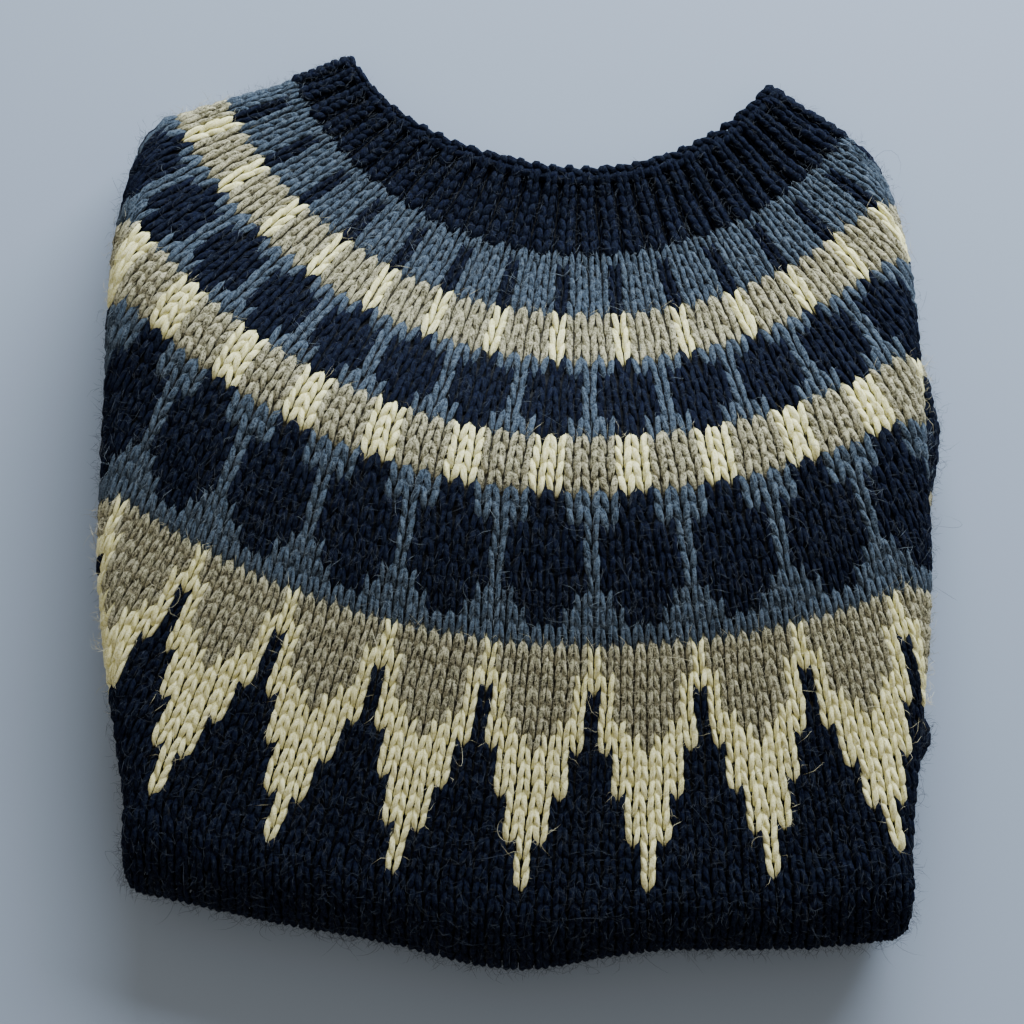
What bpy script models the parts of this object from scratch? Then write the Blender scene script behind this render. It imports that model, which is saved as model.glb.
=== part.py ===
"""Nordic yoke sweater, folded flat with its front yoke uppermost.

The jumper is knitted in the round from thick wool.  Its sides and sleeves are
folded behind, and its lower body is folded up beneath.  The origin is in the
middle of the flat underside, +Y points to the neck, +Z up, and units are metres.
"""
import math

import bmesh
import bpy

# Driving dimensions of the folded garment.
WALL = 0.0040            # thickness of the knitted cloth
RIB_WALL = 0.0046        # thickness of the ribbed cloth
SEAM = 0.0003            # room between pieces that meet
WIDE_SEAM = 0.0012       # room where the two pieces slope differently
APEX_X = 0.0250          # centre of the yoke's concentric courses
APEX_Y = 0.2262
R_NECK = 0.0950          # bound-off edge of the neckband
NECK_LIFT = 0.0110       # how much larger the neck edge's radius is at its left corner
LIFT_SHARE = 0.45        # share of the neck edge over which that fades out
R_YOKE = 0.131           # neckband meets yoke
R_BODY = 0.383           # tips of the yoke's teeth, where the plain body starts
R_BOTTOM = 0.4080        # outermost course on the bottom fold
SHOULDER_LEFT = math.radians(66.0)
SHOULDER_RIGHT = math.radians(53.5)
X_LEFT = -0.1600         # side folds
X_RIGHT = 0.1515
TAPER_LEFT = 0.020       # how far each side fold leans in by the bottom corner
TAPER_RIGHT = 0.013
TAPER_FROM = 0.250       # distance down from the apex where the sides start to lean in
TAPER_OVER = 0.150
CORNER_BLEND = 0.24      # angle over which a shoulder rounds into its straight side
NECK_HEIGHT = 0.0118     # height of the pile at the neck
PILE_HEIGHT = 0.0430     # height of the pile along the side folds
PILE_FROM = 0.104        # courses over which the pile gains its height
PILE_OVER = 0.130
NECK_RISE = 0.0015       # extra height in the middle, at the neck
CROWN = 0.0120           # and over the yoke
RISE_FROM = 0.130
RISE_OVER = 0.120
FALL_FROM = 0.262        # courses over which the middle sinks towards the bottom fold
FALL_OVER = 0.150
FALL_SHARE = 1.10        # above 1, so that the middle ends a little hollow
LAYER_TOP = 0.0262       # the front layer turns under at this height
LAYER_LOW = 0.0112       # height of the lower body folded beneath
HEM_Y = 0.0682           # edge of the hem rib, under the yoke
HEM_RIB = 0.052          # depth of the hem rib
TURN_START = 0.1362      # the side folds gain their separate layers from here
TURN_END = 0.0642        # to here, going down
FRONT_ROLL = 0.0095      # how far a side fold rounds in, seen from above
BOTTOM_ROLL = 0.0220     # how far the bottom fold rounds in
BOTTOM_FAN = 0.15        # share of a wale's slant that is left at the bottom fold
WAVE = (0.0026, 7.5, 0.03, 4.0)      # soft wave of the bottom fold: height, pitch, shift, fade
CORNER_FULL = 0.0060     # how much fuller the bottom fold is at both corners
LEFT_FULL = 0.0040       # and at the left one
DIMPLE = (0.0035, 0.48, 0.45)        # shallow dimple in the bottom fold: depth, middle, half width
HEM_SEAM_Y = HEM_Y - HEM_RIB
UNDER_INSET = 0.0105     # the lower body's flat underside stops this far inside its fold
BACK_INSET = 0.0036      # the back keeps this far inside the front where it turns under
BACK_LEFT_R = 0.2420     # courses at which the yoke's back reaches the hem
BACK_RIGHT_R = 0.2010
SLEEVE_TOP_Y = 0.0602    # ends of the sleeves' side folds
SLEEVE_LOW_Y = {-1: -0.1158, 1: -0.1318}
SLEEVE_BULGES = ((0.0110, 0.0202, 0.062), (0.0092, -0.0988, 0.020))   # out, middle, half length
SLEEVE_ROUND = 0.0085    # how far a sleeve's fold rounds in
SLEEVE_HEM = 0.0045      # flat stretch inside the sleeve's fold
CORE_TOP_R = 0.176       # courses between which the hidden layers lie
CORE_LOW_R = 0.392
CORE_INSET = 0.0180      # how far inside the side folds they stop
CORE_ROOM = 0.0016       # room above and below them
CORE_ROUND = 0.012       # length over which their two ends round off
CORE_GROOVE = 0.0012     # depth of the grooves between the layers
CORE_LAYERS = 3.0        # layers that show as grooves at their sides
CORE_SIDE = 0.90         # share of the width where their sides start to round off
CORE_END_SHARE = 0.75
CORE_SIDE_SHARE = 0.25
CORE_STEP_DROP = 0.046   # where the layers step up on to the lower body
CORE_STEP = 0.014
SLOPE_STEP = 0.004       # distance between the courses that give a fold's direction
COURSE_BLEND = 0.2       # share of a course over which its radius meets each fold
SHOULDER_HOLD = 4        # how fast the shoulder's curve fades out across the back
SLEEVE_INSET = 0.0025    # how far inside the side folds the sleeves lie
HEM_ROUND = 0.0010       # extra depth of the lower body's side rounds

# Mesh divisions: quads across the flat part, round a fold, and along each piece.
ACROSS = 22
ROUND = 6
NECK_ROWS = 3
YOKE_ROWS = 19
BACK_ROWS = 4
BOTTOM_ROUND = 8
UNDER_ROWS = 8
BODY_ROWS = 1 + BOTTOM_ROUND + UNDER_ROWS
HEM_ROWS = 3
SLEEVE_ROWS = 18
SLEEVE_COLUMNS = 8
SLEEVE_TUCK = 1
CORE_CUTS = 8

NAVY = (0.010, 0.016, 0.035, 1.0)
YOKE_BLUE = (0.075, 0.115, 0.180, 1.0)
GREY = (0.270, 0.255, 0.205, 1.0)
CORE_NAVY = (0.006, 0.010, 0.022, 1.0)


def smooth(value):
    """Ease from 0 to 1 with flat ends."""
    value = min(1.0, max(0.0, value))
    return value * value * (3.0 - 2.0 * value)


def mix(low, high, share):
    return low + (high - low) * share


def bump(value, middle, half_width):
    """A soft bump, 1 at its middle and 0 past its half width."""
    return smooth(1.0 - abs(value - middle) / half_width)


def soft_min(first, second, width):
    """Smaller of two values, with the corner between them rounded."""
    share = min(1.0, max(0.0, 0.5 + 0.5 * (second - first) / width))
    return mix(second, first, share) - width * share * (1.0 - share)


def fold_angle(radius, side):
    """Angle at which a course meets the fold: radial shoulder, then a straight side."""
    reach = APEX_X - X_LEFT if side < 0 else X_RIGHT - APEX_X
    shoulder = SHOULDER_LEFT if side < 0 else SHOULDER_RIGHT
    taper = TAPER_LEFT if side < 0 else TAPER_RIGHT
    straight = math.asin(min(1.0, reach / radius)) if radius > reach else math.pi / 2.0
    drop = radius * math.cos(straight)
    reach -= taper * smooth((drop - TAPER_FROM) / TAPER_OVER)
    straight = math.asin(min(1.0, reach / radius)) if radius > reach else math.pi / 2.0
    return soft_min(shoulder, straight, CORNER_BLEND)


def polar(radius, angle):
    """Plan position on a course of the yoke, the angle measured from straight down."""
    return APEX_X + radius * math.sin(angle), APEX_Y - radius * math.cos(angle)


def fold_point(radius, side):
    """Where a course meets its side fold, and the way out from there."""
    x, y = polar(radius, side * fold_angle(radius, side))
    x_up, y_up = polar(radius - SLOPE_STEP, side * fold_angle(radius - SLOPE_STEP, side))
    x_down, y_down = polar(radius + SLOPE_STEP, side * fold_angle(radius + SLOPE_STEP, side))
    length = math.hypot(x_down - x_up, y_down - y_up)
    out_x = -side * (y_down - y_up) / length
    out_y = side * (x_down - x_up) / length
    return x, y, out_x, out_y


def across_course(radius, share, inset):
    """Plan position along a course that starts and ends inside the side folds."""
    left = fold_point(radius, -1)
    right = fold_point(radius, 1)
    start_x = left[0] - left[2] * inset - APEX_X
    start_y = left[1] - left[3] * inset - APEX_Y
    end_x = right[0] - right[2] * inset - APEX_X
    end_y = right[1] - right[3] * inset - APEX_Y
    start = math.atan2(start_x, -start_y)
    end = math.atan2(end_x, -end_y)
    near = mix(math.hypot(start_x, start_y), radius, smooth(share / COURSE_BLEND))
    near = mix(near, math.hypot(end_x, end_y), smooth((share - 1.0 + COURSE_BLEND) / COURSE_BLEND))
    return polar(near, mix(start, end, share))


def pile_height(radius):
    """Height of the folded layers along a side fold."""
    return mix(NECK_HEIGHT, PILE_HEIGHT, smooth((radius - PILE_FROM) / PILE_OVER))


def top_height(x, y):
    """Height of the front layer's outer face: low at the neck, pillowed in the middle."""
    radius = math.hypot(x - APEX_X, y - APEX_Y)
    angle = math.atan2(x - APEX_X, APEX_Y - y)
    left = fold_angle(radius, -1)
    across = 2.0 * (angle + left) / (left + fold_angle(radius, 1)) - 1.0
    rise = mix(NECK_RISE, CROWN, smooth((radius - RISE_FROM) / RISE_OVER))
    fall = 1.0 - FALL_SHARE * smooth((radius - FALL_FROM) / FALL_OVER)
    return pile_height(radius) + rise * fall * (1.0 - min(1.0, across * across) ** 2)


def bottom_reach(across):
    """How far the bottom fold stands out: fuller at its corners, with gentle bumps."""
    height, pitch, shift, fade = WAVE
    middle = height * math.cos(pitch * (across + shift)) * math.exp(-fade * across * across)
    corners = CORNER_FULL * across ** 4 + LEFT_FULL * min(0.0, across) ** 2
    depth, dimple_middle, half_width = DIMPLE
    return BOTTOM_ROLL + middle + corners - depth * bump(across, dimple_middle, half_width)


def roll_height(y, top):
    """Height of the cloth that turns round a side fold: all of it at the shoulder."""
    return mix(top - LAYER_TOP, top, smooth((y - TURN_END) / (TURN_START - TURN_END)))


def side_turn(column, columns_flat):
    """Which side fold a column is in, how far round it, and its share across."""
    if column < ROUND:
        return -1, math.pi * (ROUND - column) / ROUND, 0.0
    if column > ROUND + columns_flat:
        return 1, math.pi * (column - ROUND - columns_flat) / ROUND, 1.0
    return 0, 0.0, (column - ROUND) / columns_flat


def front_course(radius, column, columns_flat):
    """One point of the front layer's outer face on a course of the yoke."""
    side, turn, share = side_turn(column, columns_flat)
    depth = min(FRONT_ROLL, 0.5 * pile_height(radius))
    if not side:
        x, y = across_course(radius, share, depth)
        return x, y, top_height(x, y)
    x, y, out_x, out_y = fold_point(radius, side)
    x -= out_x * depth
    y -= out_y * depth
    top = top_height(x, y)
    drop = 0.5 * roll_height(y, top) * (1.0 - math.cos(turn))
    return x + out_x * depth * math.sin(turn), y + out_y * depth * math.sin(turn), top - drop


def fold_x(y, side):
    """Plan position of a straight side fold, which leans in towards the bottom."""
    taper = smooth((APEX_Y - y - TAPER_FROM) / TAPER_OVER)
    if side < 0:
        return X_LEFT + TAPER_LEFT * taper
    return X_RIGHT - TAPER_RIGHT * taper


def yoke_front_point(column, row):
    """Outer face of the yoke's front, from the neckband down to the teeth's tips."""
    radius = mix(R_BODY, R_YOKE + WIDE_SEAM, row / YOKE_ROWS)
    return front_course(radius, column, ACROSS)


def neckband_point(column, row):
    """Outer face of the flattened neckband: front, right corner, back, left corner."""
    loop = 2 * (ACROSS + ROUND)
    column = (column + ROUND) % loop
    back = column > ACROSS + 2 * ROUND
    if back:
        column = loop - column + ROUND
    share = min(1.0, max(0.0, (column - ROUND) / ACROSS))
    edge = R_NECK + NECK_LIFT * (1.0 - smooth(share / LIFT_SHARE))
    x, y, z = front_course(mix(R_YOKE, edge, row / NECK_ROWS), column, ACROSS)
    return x, y, 0.0 if back else z


def shoulder_bulge(far_r, end, down):
    """How far the shoulder stands out from a straight line down to the hem, in plan."""
    inset = FRONT_ROLL + BACK_INSET
    neck = across_course(R_YOKE + WIDE_SEAM, end, inset)
    fold = across_course(mix(R_YOKE + WIDE_SEAM, far_r, down), end, inset)
    far = across_course(far_r, end, inset)
    return fold[0] - mix(neck[0], far[0], down), fold[1] - mix(neck[1], far[1], down)


def yoke_back_point(column, row):
    """Underside of the yoke's back: it follows both shoulders down to the hem beneath."""
    share = 1.0 - column / ACROSS
    down = row / BACK_ROWS
    inset = FRONT_ROLL + BACK_INSET
    neck = across_course(R_YOKE + WIDE_SEAM, share, inset)
    low_left = across_course(BACK_LEFT_R, 0.0, inset)
    low_right = across_course(BACK_RIGHT_R, 1.0, inset)
    left = shoulder_bulge(BACK_LEFT_R, 0.0, down)
    right = shoulder_bulge(BACK_RIGHT_R, 1.0, down)
    near_left = (1.0 - share) ** SHOULDER_HOLD
    near_right = share ** SHOULDER_HOLD
    x = mix(neck[0], mix(low_left[0], low_right[0], share), down)
    y = mix(neck[1], HEM_Y + 2.0 * SEAM, down)
    x += left[0] * near_left + right[0] * near_right
    y += left[1] * near_left + right[1] * near_right
    return x, y, 0.0


def body_point(column, row):
    """Outer face of the plain body: its edge at the teeth, the bottom fold, the underside."""
    row = BODY_ROWS - row
    side, turn, share = side_turn(column, ACROSS)
    flat = ROUND if side < 0 else ROUND + ACROSS if side > 0 else column
    if row == 0:
        return front_course(R_BODY + SEAM, column, ACROSS)
    fold = math.pi * min(row - 1, BOTTOM_ROUND) / BOTTOM_ROUND
    x, y, top = front_course(R_BOTTOM - BOTTOM_ROLL, flat, ACROSS)
    angle = BOTTOM_FAN * math.atan2(x - APEX_X, APEX_Y - y)
    swing = 2.0 * share - 1.0
    reach = bottom_reach(swing) * math.sin(fold)
    eased = smooth(fold / math.pi)
    depth = mix(FRONT_ROLL, 0.5 * LAYER_LOW + HEM_ROUND, eased)
    thick = mix(top - LAYER_TOP, LAYER_LOW, eased)
    inner = 0.5 * thick * (1.0 - math.cos(turn)) if side else 0.0
    x += (reach - inner * math.sin(fold)) * math.sin(angle)
    y -= (reach - inner * math.sin(fold)) * math.cos(angle)
    z = 0.5 * top * (1.0 + math.cos(fold)) - inner * math.cos(fold)
    if row > 1 + BOTTOM_ROUND:
        under = (row - 1 - BOTTOM_ROUND) / UNDER_ROWS
        far_x = mix(fold_x(HEM_SEAM_Y, -1) + UNDER_INSET, fold_x(HEM_SEAM_Y, 1) - UNDER_INSET, share)
        x = mix(x, far_x, under)
        y = mix(y, HEM_SEAM_Y - WIDE_SEAM, under)
    return x + side * depth * math.sin(turn), y, z


def hem_point(column, row):
    """Outer face of the flattened hem rib: underside, side, top and side again."""
    loop = 2 * (ACROSS + ROUND)
    column = (column + ROUND) % loop
    y = mix(HEM_SEAM_Y, HEM_Y, row / HEM_ROWS)
    left = fold_x(y, -1) + UNDER_INSET
    right = fold_x(y, 1) - UNDER_INSET
    depth = 0.5 * LAYER_LOW + HEM_ROUND
    side, turn, share = side_turn(column, ACROSS) if column <= ACROSS + 2 * ROUND else (0, 0.0, 0.0)
    if column > ACROSS + 2 * ROUND:
        share = 1.0 - (column - ACROSS - 2 * ROUND) / ACROSS
        return mix(left, right, share), y, LAYER_LOW
    edge = mix(left, right, share)
    return edge + side * depth * math.sin(turn), y, 0.5 * LAYER_LOW * (1.0 - math.cos(turn))


def sleeve_point(side, column, row):
    """Outer face of a sleeve's fold, tucked between the front and the lower body."""
    along = row / SLEEVE_ROWS
    y = mix(SLEEVE_LOW_Y[side], SLEEVE_TOP_Y, along)
    edge = fold_x(y, side) - side * SLEEVE_INSET
    if side > 0:
        for out, middle, half_length in SLEEVE_BULGES:
            edge += out * bump(y, middle, half_length)
    turn = math.pi * (column - SLEEVE_TUCK) / (SLEEVE_COLUMNS - 2 * SLEEVE_TUCK)
    tuck = 0.0
    if column < SLEEVE_TUCK:
        turn = 0.0
        tuck = SLEEVE_HEM
    if column > SLEEVE_COLUMNS - SLEEVE_TUCK:
        turn = math.pi
        tuck = SLEEVE_HEM
    low = LAYER_LOW + 2.0 * SEAM
    high = LAYER_TOP - 2.0 * SEAM
    z = 0.5 * (low + high) + 0.5 * (high - low) * math.cos(turn)
    x = edge - side * (SLEEVE_ROUND * (1.0 - math.sin(turn)) + tuck)
    return x, y, z


def sheet(name, place, columns, rows, wall, colour, closed=False, flip=False):
    """A wall of cloth: a grid laid on its outer face, then thickened inwards."""
    bm = bmesh.new()
    bmesh.ops.create_grid(bm, x_segments=columns, y_segments=rows, size=0.5)
    for vert in bm.verts:
        column = round((vert.co.x + 0.5) * columns)
        row = round((vert.co.y + 0.5) * rows)
        vert.co = place(column, row)
    if closed:
        bmesh.ops.remove_doubles(bm, verts=bm.verts, dist=0.00002)
    if flip:
        bmesh.ops.reverse_faces(bm, faces=bm.faces)
    mesh = bpy.data.meshes.new(name)
    bm.to_mesh(mesh)
    bm.free()
    piece = add_piece(name, mesh, colour)
    wall_maker = piece.modifiers.new("cloth wall", "SOLIDIFY")
    wall_maker.thickness = wall
    wall_maker.offset = -1.0
    return piece


def add_piece(name, mesh, colour):
    """Put a mesh in the collection, smooth shaded, with its own yarn colour."""
    mesh.shade_smooth()
    material = bpy.data.materials.new(name + " yarn")
    material.use_nodes = True
    shader = material.node_tree.nodes["Principled BSDF"]
    shader.inputs["Base Color"].default_value = colour
    shader.inputs["Roughness"].default_value = 0.95
    shader.inputs["Metallic"].default_value = 0.0
    mesh.materials.append(material)
    piece = bpy.data.objects.new(name, mesh)
    collection.objects.link(piece)
    return piece


def core_point(across, down, up):
    """The hidden folded layers: rounded, with a shallow groove between each two."""
    radius = mix(CORE_TOP_R, CORE_LOW_R, down)
    groove = CORE_GROOVE * abs(math.sin(CORE_LAYERS * math.pi * up))
    x, y = across_course(radius, across, CORE_INSET + groove)
    top = top_height(x, y) - WALL - CORE_ROOM
    step = smooth((y - HEM_SEAM_Y + CORE_STEP_DROP) / CORE_STEP)
    low = mix(WALL + CORE_ROOM, LAYER_LOW + CORE_ROOM, step)
    end_on = max(0.0, (radius - CORE_LOW_R + CORE_ROUND) / CORE_ROUND)
    side_on = max(0.0, (abs(2.0 * across - 1.0) - CORE_SIDE) / (1.0 - CORE_SIDE))
    front_on = max(0.0, (CORE_TOP_R + CORE_ROUND - radius) / CORE_ROUND)
    full = math.sqrt(max(0.0, 1.0 - CORE_END_SHARE * max(end_on, front_on) ** 2))
    full *= 1.0 - CORE_SIDE_SHARE * side_on ** 2
    middle = 0.5 * (top + low)
    return x, y, mix(middle - 0.5 * full * (top - low), middle + 0.5 * full * (top - low), up)


def folded_core():
    """One rounded solid for the layers that nothing shows."""
    bm = bmesh.new()
    bmesh.ops.create_cube(bm, size=1.0)
    bmesh.ops.subdivide_edges(bm, edges=bm.edges, cuts=CORE_CUTS, use_grid_fill=True)
    for vert in bm.verts:
        vert.co = core_point(vert.co.x + 0.5, 0.5 - vert.co.y, vert.co.z + 0.5)
    mesh = bpy.data.meshes.new("folded_core")
    bm.to_mesh(mesh)
    bm.free()
    return add_piece("folded_core", mesh, CORE_NAVY)


for old in list(bpy.data.objects):
    bpy.data.objects.remove(old)

collection = bpy.data.collections.new("nordic yoke sweater")
bpy.context.scene.collection.children.link(collection)

YOKE_COLUMNS = ACROSS + 2 * ROUND
LOOP = 2 * (ACROSS + ROUND)

sheet("neckband", neckband_point, LOOP, NECK_ROWS, RIB_WALL, NAVY, closed=True)
sheet("yoke_front", yoke_front_point, YOKE_COLUMNS, YOKE_ROWS, WALL, YOKE_BLUE)
sheet("yoke_back", yoke_back_point, ACROSS, BACK_ROWS, WALL, YOKE_BLUE, flip=True)
sheet("body", body_point, YOKE_COLUMNS, BODY_ROWS, WALL, NAVY)
sheet("hem_rib", hem_point, LOOP, HEM_ROWS, RIB_WALL, NAVY, closed=True, flip=True)
for label, way in (("left", -1), ("right", 1)):
    sheet("sleeve_" + label, lambda c, r: sleeve_point(way, c, r), SLEEVE_COLUMNS, SLEEVE_ROWS,
          WALL, GREY, flip=way < 0)
folded_core()
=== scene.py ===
import math

import bpy
import numpy as np
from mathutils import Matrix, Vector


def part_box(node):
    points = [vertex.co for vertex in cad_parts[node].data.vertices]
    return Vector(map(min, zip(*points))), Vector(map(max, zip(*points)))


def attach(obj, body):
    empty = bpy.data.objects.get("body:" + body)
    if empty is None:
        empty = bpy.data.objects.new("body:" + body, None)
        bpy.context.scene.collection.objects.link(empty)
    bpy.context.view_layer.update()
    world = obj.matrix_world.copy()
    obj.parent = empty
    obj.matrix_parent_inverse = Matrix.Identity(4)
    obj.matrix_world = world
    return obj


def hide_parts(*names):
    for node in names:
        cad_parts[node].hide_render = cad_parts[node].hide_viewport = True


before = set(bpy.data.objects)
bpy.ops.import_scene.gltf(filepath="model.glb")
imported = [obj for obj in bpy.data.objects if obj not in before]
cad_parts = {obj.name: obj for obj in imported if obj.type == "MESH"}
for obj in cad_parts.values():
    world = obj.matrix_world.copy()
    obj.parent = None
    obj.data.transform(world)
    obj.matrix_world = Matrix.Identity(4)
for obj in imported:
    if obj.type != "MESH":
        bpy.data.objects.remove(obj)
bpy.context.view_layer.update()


# --------------------------------------------------------------------------
# Yoke, front.  Stranded stockinette in four wools, knitted in the round from the
# body up to the neck.  It lies uppermost, with both its sides turned under at the
# folds.  The cloth is a thin shell, and every stitch of it is laid on that.
# --------------------------------------------------------------------------

# Every course is an arc round one point past the neck, and a radius is a distance from it.
APEX_X = 0.0250
APEX_Y = 0.2262
R_YOKE = 0.1310
R_TIPS = 0.3830
R_FOLD = 0.3860
X_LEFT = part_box("yoke_front")[0][0]
X_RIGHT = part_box("yoke_front")[1][0]
SHOULDER = {-1: math.radians(66.0), 1: math.radians(53.5)}
SIDE_REACH = {-1: APEX_X - X_LEFT, 1: X_RIGHT - APEX_X}
SIDE_TAPER = {-1: 0.020, 1: 0.013}
TAPER_FROM = 0.250
TAPER_OVER = 0.150
CORNER_BLEND = 0.24
SIDE_ROLL = 0.0095
SLEEVE_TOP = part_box("sleeve_left")[1][2] + 0.0006
SLEEVE_FROM_Y = 0.0642
SLEEVE_CLEAR_Y = 0.1362
PILE_LOW = 0.0118
PILE_HIGH = 0.0430
NECK_RISE = 0.0015
CROWN = 0.0120

bpy.ops.object.select_all(action="DESELECT")


def ease(value):
    value = np.clip(value, 0.0, 1.0)
    return value * value * (3.0 - 2.0 * value)


def mix(low, high, share):
    return low + (high - low) * share


def hump(value, middle, half_width):
    """A soft hump, 1 at its middle and 0 past its half width."""
    return ease(1.0 - np.abs(value - middle) / half_width)


def fold_angle(radius, side):
    """Angle from straight down at which a course meets its side fold."""
    reach = SIDE_REACH[side] * np.ones_like(radius)
    straight = np.arcsin(np.minimum(1.0, reach / radius))
    reach = reach - SIDE_TAPER[side] * ease((radius * np.cos(straight) - TAPER_FROM) / TAPER_OVER)
    straight = np.arcsin(np.minimum(1.0, reach / radius))
    share = np.clip(0.5 + 0.5 * (straight - SHOULDER[side]) / CORNER_BLEND, 0.0, 1.0)
    return mix(straight, SHOULDER[side], share) - CORNER_BLEND * share * (1.0 - share)


def polar(radius, angle):
    return APEX_X + radius * np.sin(angle), APEX_Y - radius * np.cos(angle)


def pile_height(radius):
    """Height of the pile at its sides, which grows from the flat neck to the folded layers."""
    return mix(PILE_LOW, PILE_HIGH, ease((radius - 0.104) / 0.130))


def top_height(x, y):
    """Height of the uppermost face: low at the neck and pillowed in the middle."""
    radius = np.hypot(x - APEX_X, y - APEX_Y)
    angle = np.arctan2(x - APEX_X, APEX_Y - y)
    left = fold_angle(radius, -1)
    across = 2.0 * (angle + left) / (left + fold_angle(radius, 1)) - 1.0
    rise = mix(NECK_RISE, CROWN, ease((radius - 0.130) / 0.120))
    fall = 1.0 - 1.10 * ease((radius - 0.262) / 0.150)
    return pile_height(radius) + rise * fall * (1.0 - np.minimum(1.0, across * across) ** 2)


def half_round(wide, high):
    """Length of the way round half an ellipse."""
    return 0.5 * math.pi * (3.0 * (wide + high) - np.sqrt((3.0 * wide + high) * (wide + 3.0 * high)))


# For each side, by radius: where a course leaves the flat front, which way is out, how far it rolls.
fold_lines = {}
for side in (-1, 1):
    course = np.linspace(0.080, 0.430, 700)
    fold_x, fold_y = polar(course, side * fold_angle(course, side))
    along_x = np.gradient(fold_x)
    along_y = np.gradient(fold_y)
    length = np.hypot(along_x, along_y)
    out_x = -side * along_y / length
    out_y = side * along_x / length
    deep = np.minimum(SIDE_ROLL, 0.5 * pile_height(course))
    start_x = fold_x - out_x * deep
    start_y = fold_y - out_y * deep
    start_radius = np.maximum.accumulate(np.hypot(start_x - APEX_X, start_y - APEX_Y))
    start_angle = np.abs(np.arctan2(start_x - APEX_X, APEX_Y - start_y))
    fold_lines[side] = (start_radius, start_angle, start_x, start_y, out_x, out_y, deep)


def on_front(radius, angle):
    """Point of the front's outer face, and how far it has turned round a side fold."""
    x, y = polar(radius, angle)
    z = top_height(x, y)
    turn = np.zeros_like(x)
    for side in (-1, 1):
        line = fold_lines[side]
        start_angle, sx, sy, ox, oy, deep = (np.interp(radius, line[0], line[i]) for i in range(1, 7))
        beyond = radius * (side * angle - start_angle)
        past = beyond > 0.0
        top = top_height(sx, sy)
        eased = ease((sy - SLEEVE_FROM_Y) / (SLEEVE_CLEAR_Y - SLEEVE_FROM_Y))
        half = 0.5 * mix(top - SLEEVE_TOP, top, eased)
        way = math.pi * beyond / half_round(deep, half)
        held = np.clip(way, 0.0, math.pi)
        x = np.where(past, sx + ox * deep * np.sin(held), x)
        y = np.where(past, sy + oy * deep * np.sin(held), y)
        z = np.where(past, top - half * (1.0 - np.cos(held)), z)
        turn = np.where(past, way, turn)
    return np.stack((x, y, z), -1), turn


BOTTOM_ROLL = 0.0220
BOTTOM_FAN = 0.15
LOWER_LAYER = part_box("hem_rib")[1][2]
HEM_SEAM_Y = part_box("hem_rib")[0][1]
HEM_INSET = 0.0105


def bottom_reach(across):
    """How far the bottom fold stands out: full at its corners, with soft bumps between."""
    middle = 0.0026 * np.cos(7.5 * (across + 0.03)) * np.exp(-4.0 * across * across)
    ends = 0.0060 * across ** 4 + 0.0040 * np.minimum(0.0, across) ** 2
    return BOTTOM_ROLL + middle + ends - 0.0035 * hump(across, 0.48, 0.45)


def on_body(down, angle):
    """Point of the body's outer face, down the cloth from the start of the bottom fold."""
    start = R_FOLD * np.ones_like(down)
    flat, turn = on_front(start, angle)
    left = np.interp(start, fold_lines[-1][0], fold_lines[-1][1])
    right = np.interp(start, fold_lines[1][0], fold_lines[1][1])
    held = np.clip(angle, -left, right)
    side = np.sign(angle) * (turn > 0.0)
    round_side = np.clip(turn, 0.0, math.pi)
    base_x, base_y = polar(start, held)
    top = top_height(base_x, base_y)
    share = (held + left) / (left + right)
    reach = bottom_reach(2.0 * share - 1.0)
    length = half_round(reach, 0.5 * top)
    fold = np.clip(down / length, 0.0, 1.0) * math.pi
    eased = ease(fold / math.pi)
    deep = mix(SIDE_ROLL, 0.5 * LOWER_LAYER + 0.001, eased)
    thick = mix(top - SLEEVE_TOP, LOWER_LAYER, eased)
    inner = 0.5 * thick * (1.0 - np.cos(round_side))
    out = (reach - inner) * np.sin(fold)
    x = base_x + out * np.sin(BOTTOM_FAN * held)
    y = base_y - out * np.cos(BOTTOM_FAN * held)
    z = 0.5 * top * (1.0 + np.cos(fold)) - inner * np.cos(fold)
    under = np.maximum(0.0, down - length) / (HEM_SEAM_Y - base_y)
    x = mix(x, mix(X_LEFT + HEM_INSET, X_RIGHT - HEM_INSET, share), np.minimum(1.0, under))
    y = mix(y, HEM_SEAM_Y, under)
    return np.stack((x + side * deep * np.sin(round_side), y, z), -1), turn


# The pattern's repeats narrow from the neck to the tips, as the courses grow longer.
PATTERN_RADII = (0.131, 0.170, 0.230, 0.300, 0.383)
MIDDLE_TOOTH = tuple(math.radians(a) for a in (4.2, 4.1, 3.7, 3.6, 2.8))
REPEAT_WIDTH = tuple(math.radians(a) for a in (8.2, 8.2, 7.9, 7.2, 6.9))


def repeat_angle(repeat, radius):
    """Angle of a place in the yoke's pattern, counted in repeats from its middle tooth."""
    width = np.interp(radius, PATTERN_RADII, REPEAT_WIDTH)
    return np.interp(radius, PATTERN_RADII, MIDDLE_TOOTH) + repeat * width


def on_ring(repeat, radius):
    """The same face carried on round each side fold, on to the flat back beneath."""
    angle = repeat_angle(repeat, radius)
    points, turn = on_front(radius, angle)
    for side in (-1, 1):
        line = fold_lines[side]
        start_angle = np.interp(radius, line[0], line[1])
        beyond = radius * (side * angle - start_angle)
        ratio = np.where(beyond > 0.0, turn / np.maximum(beyond, 1e-9), 1.0)
        behind = (beyond > 0.0) & (turn > math.pi)
        back = side * (start_angle - (turn - math.pi) / np.maximum(ratio, 1e-9) / radius)
        x, y = polar(radius, back)
        flat = np.stack((x, y, np.zeros_like(x)), -1)
        points = np.where(behind[..., None], flat, points)
    return points, turn


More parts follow.
